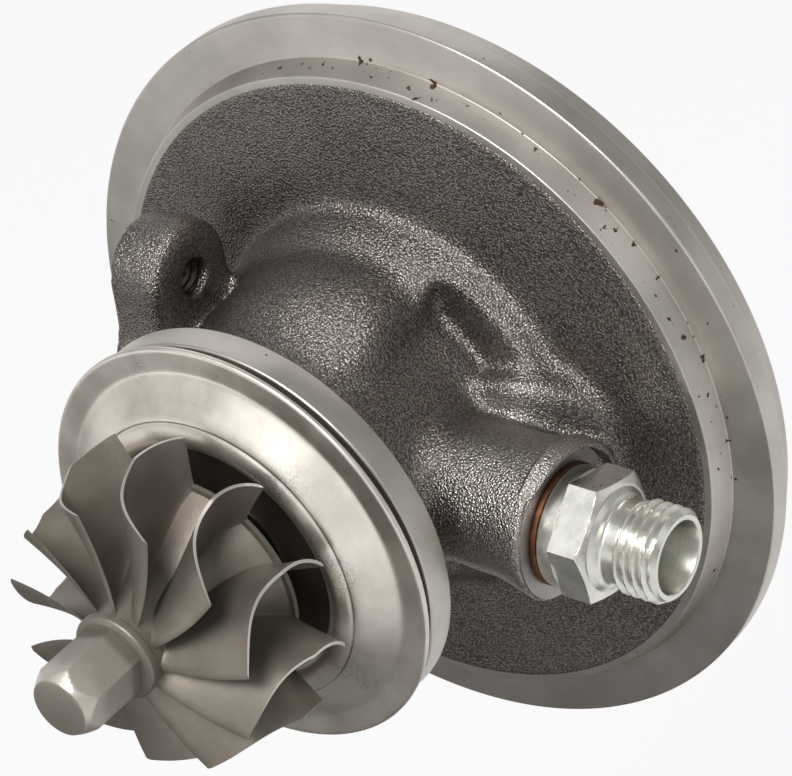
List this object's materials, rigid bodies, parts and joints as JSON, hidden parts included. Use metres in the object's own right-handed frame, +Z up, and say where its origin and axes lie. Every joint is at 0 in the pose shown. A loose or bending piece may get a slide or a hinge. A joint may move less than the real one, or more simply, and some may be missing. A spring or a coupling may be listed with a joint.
{
  "type": "turbo cartridge",
  "caption": "Turbocharger centre section: cast bearing housing with a wide backplate, bladed turbine and compressor wheels on one shaft, oil feed adapter and oil drain flange.",
  "frame": {"origin": "on the rotor axis, at the shoulder of the rim where the compressor cover seats", "axes": "+Y along the rotor axis towards the compressor, +X along the oil feed, -X along the oil drain, +Z up as in the picture"},
  "size_m": [0.121, 0.1266, 0.121],
  "materials": {
    "cast_body": "sand-cast skin with machined rings",
    "shield_sheet": "pressed stainless sheet, satin",
    "plated_steel": "bright zinc plating",
    "copper": "annealed copper, browned",
    "ring_iron": "ground",
    "spring_steel": "phosphated spring steel",
    "bearing_bronze": "machined bronze",
    "hard_steel": "ground",
    "thin_sheet": "pressed sheet",
    "machined_iron": "turned",
    "seal_rubber": "matt",
    "black_steel": "blackened",
    "nickel_casting": "blasted investment casting with ground blade tips",
    "cast_aluminium": "fine cast and tumbled"
  },
  "bodies": {
    "housing": {"bearing_housing": "cast_body", "heat_shield": "shield_sheet", "feed_adapter": "plated_steel", "feed_washer": "copper", "turbine_seal_ring": "ring_iron", "turbine_bush_outer_clip": "spring_steel", "turbine_bush_inner_clip": "spring_steel", "compressor_bush_inner_clip": "spring_steel", "compressor_bush_outer_clip": "spring_steel", "thrust_bearing": "bearing_bronze", "thrust_dowels": "hard_steel", "oil_deflector": "thin_sheet", "seal_plate": "machined_iron", "seal_plate_o_ring": "seal_rubber", "seal_plate_screws": "black_steel", "compressor_seal_ring": "ring_iron"},
    "rotor": {"turbine_wheel": "nickel_casting", "rotor_shaft": "hard_steel", "inner_thrust_washer": "hard_steel", "thrust_spacer": "hard_steel", "outer_thrust_washer": "hard_steel", "oil_slinger": "hard_steel", "compressor_wheel": "cast_aluminium", "shaft_nut": "hard_steel"},
    "turbine_bush": {"turbine_journal_bush": "bearing_bronze"},
    "compressor_bush": {"compressor_journal_bush": "bearing_bronze"}
  },
  "joints": [
    {"name": "rotor_spin", "type": "hinge", "parent": "housing", "child": "rotor", "pos_m": [0, 0, 0], "axis": [0, 1, 0], "continuous": true},
    {"name": "turbine_bush_spin", "type": "hinge", "parent": "housing", "child": "turbine_bush", "pos_m": [0, -0.037, 0], "axis": [0, 1, 0], "continuous": true},
    {"name": "compressor_bush_spin", "type": "hinge", "parent": "housing", "child": "compressor_bush", "pos_m": [0, -0.0145, 0], "axis": [0, 1, 0], "continuous": true}
  ]
}
